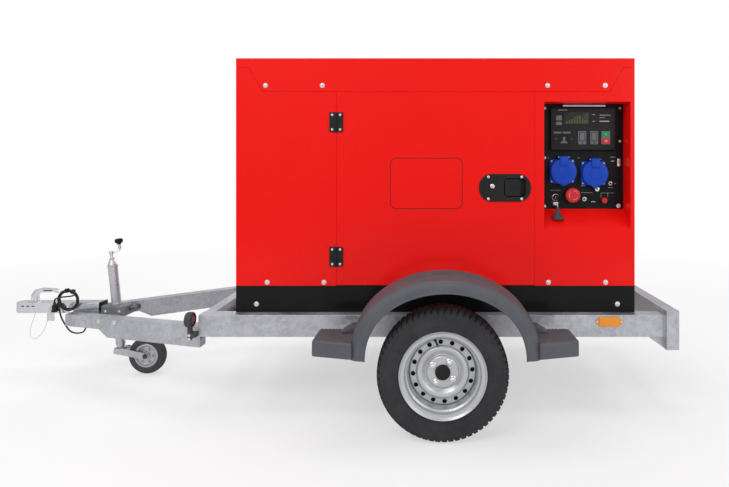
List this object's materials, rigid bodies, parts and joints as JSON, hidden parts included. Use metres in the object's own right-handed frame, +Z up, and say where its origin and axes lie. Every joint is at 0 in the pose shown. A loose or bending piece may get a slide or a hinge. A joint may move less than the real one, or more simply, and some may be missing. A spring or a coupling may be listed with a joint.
{
  "type": "towable diesel generator",
  "caption": "Sheet metal canopy diesel generator on a single axle galvanised trailer with ball coupling, jockey wheel, mudguards and a recessed control panel.",
  "frame": {"origin": "on the ground, under the centre of the bounding box", "axes": "+X towards the tail, -Y the side with the controls and the door, +Z up"},
  "size_m": [3.382, 1.66, 1.633],
  "materials": {
    "red_paint": "gloss powder coat",
    "black_paint": "satin powder coat",
    "galvanised": "hot dip galvanised, spangled",
    "zinc": "bright zinc plate",
    "silver_paint": "silver wheel paint",
    "tyre": "worn matt",
    "rubber": "matt",
    "grey_plastic": "moulded",
    "black_plastic": "moulded",
    "blue_plastic": "moulded",
    "red_plastic": "moulded",
    "key_grey": "moulded",
    "cast_iron": "painted casting",
    "engine_alloy": "cast alloy"
  },
  "bodies": {
    "chassis": {"near_rail": "galvanised", "far_rail": "galvanised", "front_crossmember": "galvanised", "rear_crossmember": "galvanised", "near_drawbar_beam": "galvanised", "far_drawbar_beam": "galvanised", "coupling_tube": "galvanised", "coupling_head": "zinc", "jockey_clamp": "black_plastic", "axle_tube": "galvanised", "near_mudguard": "grey_plastic", "far_mudguard": "grey_plastic", "near_marker_lamp": "rubber", "far_marker_lamp": "rubber", "canopy_base": "black_paint", "front_shell": "red_paint", "rear_shell": "red_paint", "top_cover": "red_paint", "far_panel": "red_paint", "lower_hinge": "black_plastic", "upper_hinge": "black_plastic", "control_panel": "black_paint", "controller_module": "black_plastic", "left_socket": "blue_plastic", "right_socket": "blue_plastic", "engine": "engine_alloy", "alternator": "cast_iron", "radiator": "engine_alloy", "fuel_tank": "black_plastic", "battery": "black_plastic", "exhaust_silencer": "cast_iron", "light_cable": "rubber", "cable_coil": "rubber", "cable_plug": "black_plastic", "safety_wire": "zinc"},
    "handle": {"coupling_handle": "zinc"},
    "clamp_lever": {"clamp_handle": "zinc"},
    "jockey_leg": {"jockey_outer_tube": "galvanised"},
    "jockey_shaft": {"jockey_inner_tube": "zinc"},
    "crank": {"jockey_crank": "zinc"},
    "fork": {"jockey_fork": "galvanised"},
    "castor": {"jockey_wheel": "rubber"},
    "near_arm": {"near_swing_arm": "galvanised"},
    "far_arm": {"far_swing_arm": "galvanised"},
    "near_wheel": {"near_rim": "silver_paint", "near_tyre": "tyre"},
    "far_wheel": {"far_rim": "silver_paint", "far_tyre": "tyre"},
    "door": {"near_door": "red_paint", "latch_body": "black_plastic"},
    "paddle": {"latch_paddle": "black_plastic"},
    "menu_button": {"menu_key": "key_grey"},
    "mode_button": {"mode_key": "key_grey"},
    "rocker": {"start_stop_rocker": "key_grey"},
    "left_lid": {"left_socket_lid": "blue_plastic"},
    "right_lid": {"right_socket_lid": "blue_plastic"},
    "stop_button": {"emergency_stop": "red_plastic"},
    "trip_button": {"breaker_button": "red_plastic"},
    "ignition": {"key": "zinc"},
    "fan": {"cooling_fan": "black_plastic"}
  },
  "joints": [
    {"name": "coupling_handle_lift", "type": "hinge", "parent": "chassis", "child": "handle", "pos_m": [-1.6, 0, 0.4045], "axis": [0, -1, 0], "range_deg": [0, 45], "stiffness_Nm_per_rad": 0.6, "springref_deg": -22.92},
    {"name": "clamp_handle_turn", "type": "hinge", "parent": "chassis", "child": "clamp_lever", "pos_m": [-1.0817, 0, 0.352], "axis": [1, 0, 0], "range_deg": [-60, 90]},
    {"name": "jockey_leg_slide", "type": "slide", "parent": "chassis", "child": "jockey_leg", "axis": [-0.1045, 0, 0.9945], "range_m": [0, 0.15]},
    {"name": "jockey_screw", "type": "slide", "parent": "jockey_leg", "child": "jockey_shaft", "axis": [0.1045, 0, -0.9945], "range_m": [-0.008, 0.15]},
    {"name": "crank_turn", "type": "hinge", "parent": "jockey_leg", "child": "crank", "pos_m": [-1.1489, 0, 0.345], "axis": [-0.1045, 0, 0.9945], "range_deg": [-576, 10800]},
    {"name": "jockey_swivel", "type": "hinge", "parent": "jockey_shaft", "child": "fork", "pos_m": [-1.12747, 0, 0.14112], "axis": [-0.1045, 0, 0.9945], "continuous": true},
    {"name": "jockey_wheel_spin", "type": "hinge", "parent": "fork", "child": "castor", "pos_m": [-0.981, 0, 0.1], "axis": [0, 1, 0], "continuous": true},
    {"name": "near_suspension", "type": "hinge", "parent": "chassis", "child": "near_arm", "pos_m": [0.462, -0.575, 0.3127], "axis": [0, 1, 0], "range_deg": [-11, 8], "stiffness_Nm_per_rad": 9000, "springref_deg": 3.56},
    {"name": "far_suspension", "type": "hinge", "parent": "chassis", "child": "far_arm", "pos_m": [0.462, 0.575, 0.3127], "axis": [0, 1, 0], "range_deg": [-11, 8], "stiffness_Nm_per_rad": 9000, "springref_deg": 3.56},
    {"name": "near_wheel_spin", "type": "hinge", "parent": "near_arm", "child": "near_wheel", "pos_m": [0.612, -0.7225, 0.2735], "axis": [0, 1, 0], "continuous": true},
    {"name": "far_wheel_spin", "type": "hinge", "parent": "far_arm", "child": "far_wheel", "pos_m": [0.612, 0.7225, 0.2735], "axis": [0, 1, 0], "continuous": true},
    {"name": "door_swing", "type": "hinge", "parent": "chassis", "child": "door", "pos_m": [0.1226, -0.4585, 1.02], "axis": [0, 0, -1], "range_deg": [0, 10.5]},
    {"name": "latch_paddle_pull", "type": "hinge", "parent": "door", "child": "paddle", "pos_m": [0.9097, -0.4528, 1.029], "axis": [0, 0, -1], "range_deg": [0, 28], "stiffness_Nm_per_rad": 0.25, "springref_deg": -11.46},
    {"name": "menu_key_press", "type": "slide", "parent": "chassis", "child": "menu_button", "axis": [0, 1, 0], "range_m": [0, 0.0015], "stiffness_N_per_m": 900, "springref_m": -0.0006},
    {"name": "mode_key_press", "type": "slide", "parent": "chassis", "child": "mode_button", "axis": [0, 1, 0], "range_m": [0, 0.0015], "stiffness_N_per_m": 900, "springref_m": -0.0006},
    {"name": "start_stop_rock", "type": "hinge", "parent": "chassis", "child": "rocker", "pos_m": [1.4025, -0.3715, 1.26575], "axis": [1, 0, 0], "range_deg": [-4, 4], "stiffness_Nm_per_rad": 0.4},
    {"name": "left_lid_open", "type": "hinge", "parent": "chassis", "child": "left_lid", "pos_m": [1.197, -0.3875, 1.174], "axis": [-1, 0, 0], "range_deg": [0, 100], "stiffness_Nm_per_rad": 0.12, "springref_deg": -28.65},
    {"name": "right_lid_open", "type": "hinge", "parent": "chassis", "child": "right_lid", "pos_m": [1.348, -0.3875, 1.164], "axis": [-1, 0, 0], "range_deg": [0, 100], "stiffness_Nm_per_rad": 0.12, "springref_deg": -28.65},
    {"name": "emergency_stop_press", "type": "slide", "parent": "chassis", "child": "stop_button", "axis": [0, 1, 0], "range_m": [0, 0.004]},
    {"name": "breaker_press", "type": "slide", "parent": "chassis", "child": "trip_button", "axis": [0, 1, 0], "range_m": [0, 0.003], "stiffness_N_per_m": 600, "springref_m": -0.001},
    {"name": "key_turn", "type": "hinge", "parent": "chassis", "child": "ignition", "pos_m": [1.167, -0.3515, 0.978], "axis": [0, 1, 0], "range_deg": [-45, 90]},
    {"name": "fan_spin", "type": "hinge", "parent": "chassis", "child": "fan", "pos_m": [0.1, 0, 0.78], "axis": [1, 0, 0], "continuous": true}
  ],
  "couplings": [
    {"joint": "jockey_screw", "follows": "crank_turn", "m_per_rad": 0.00079577}
  ]
}
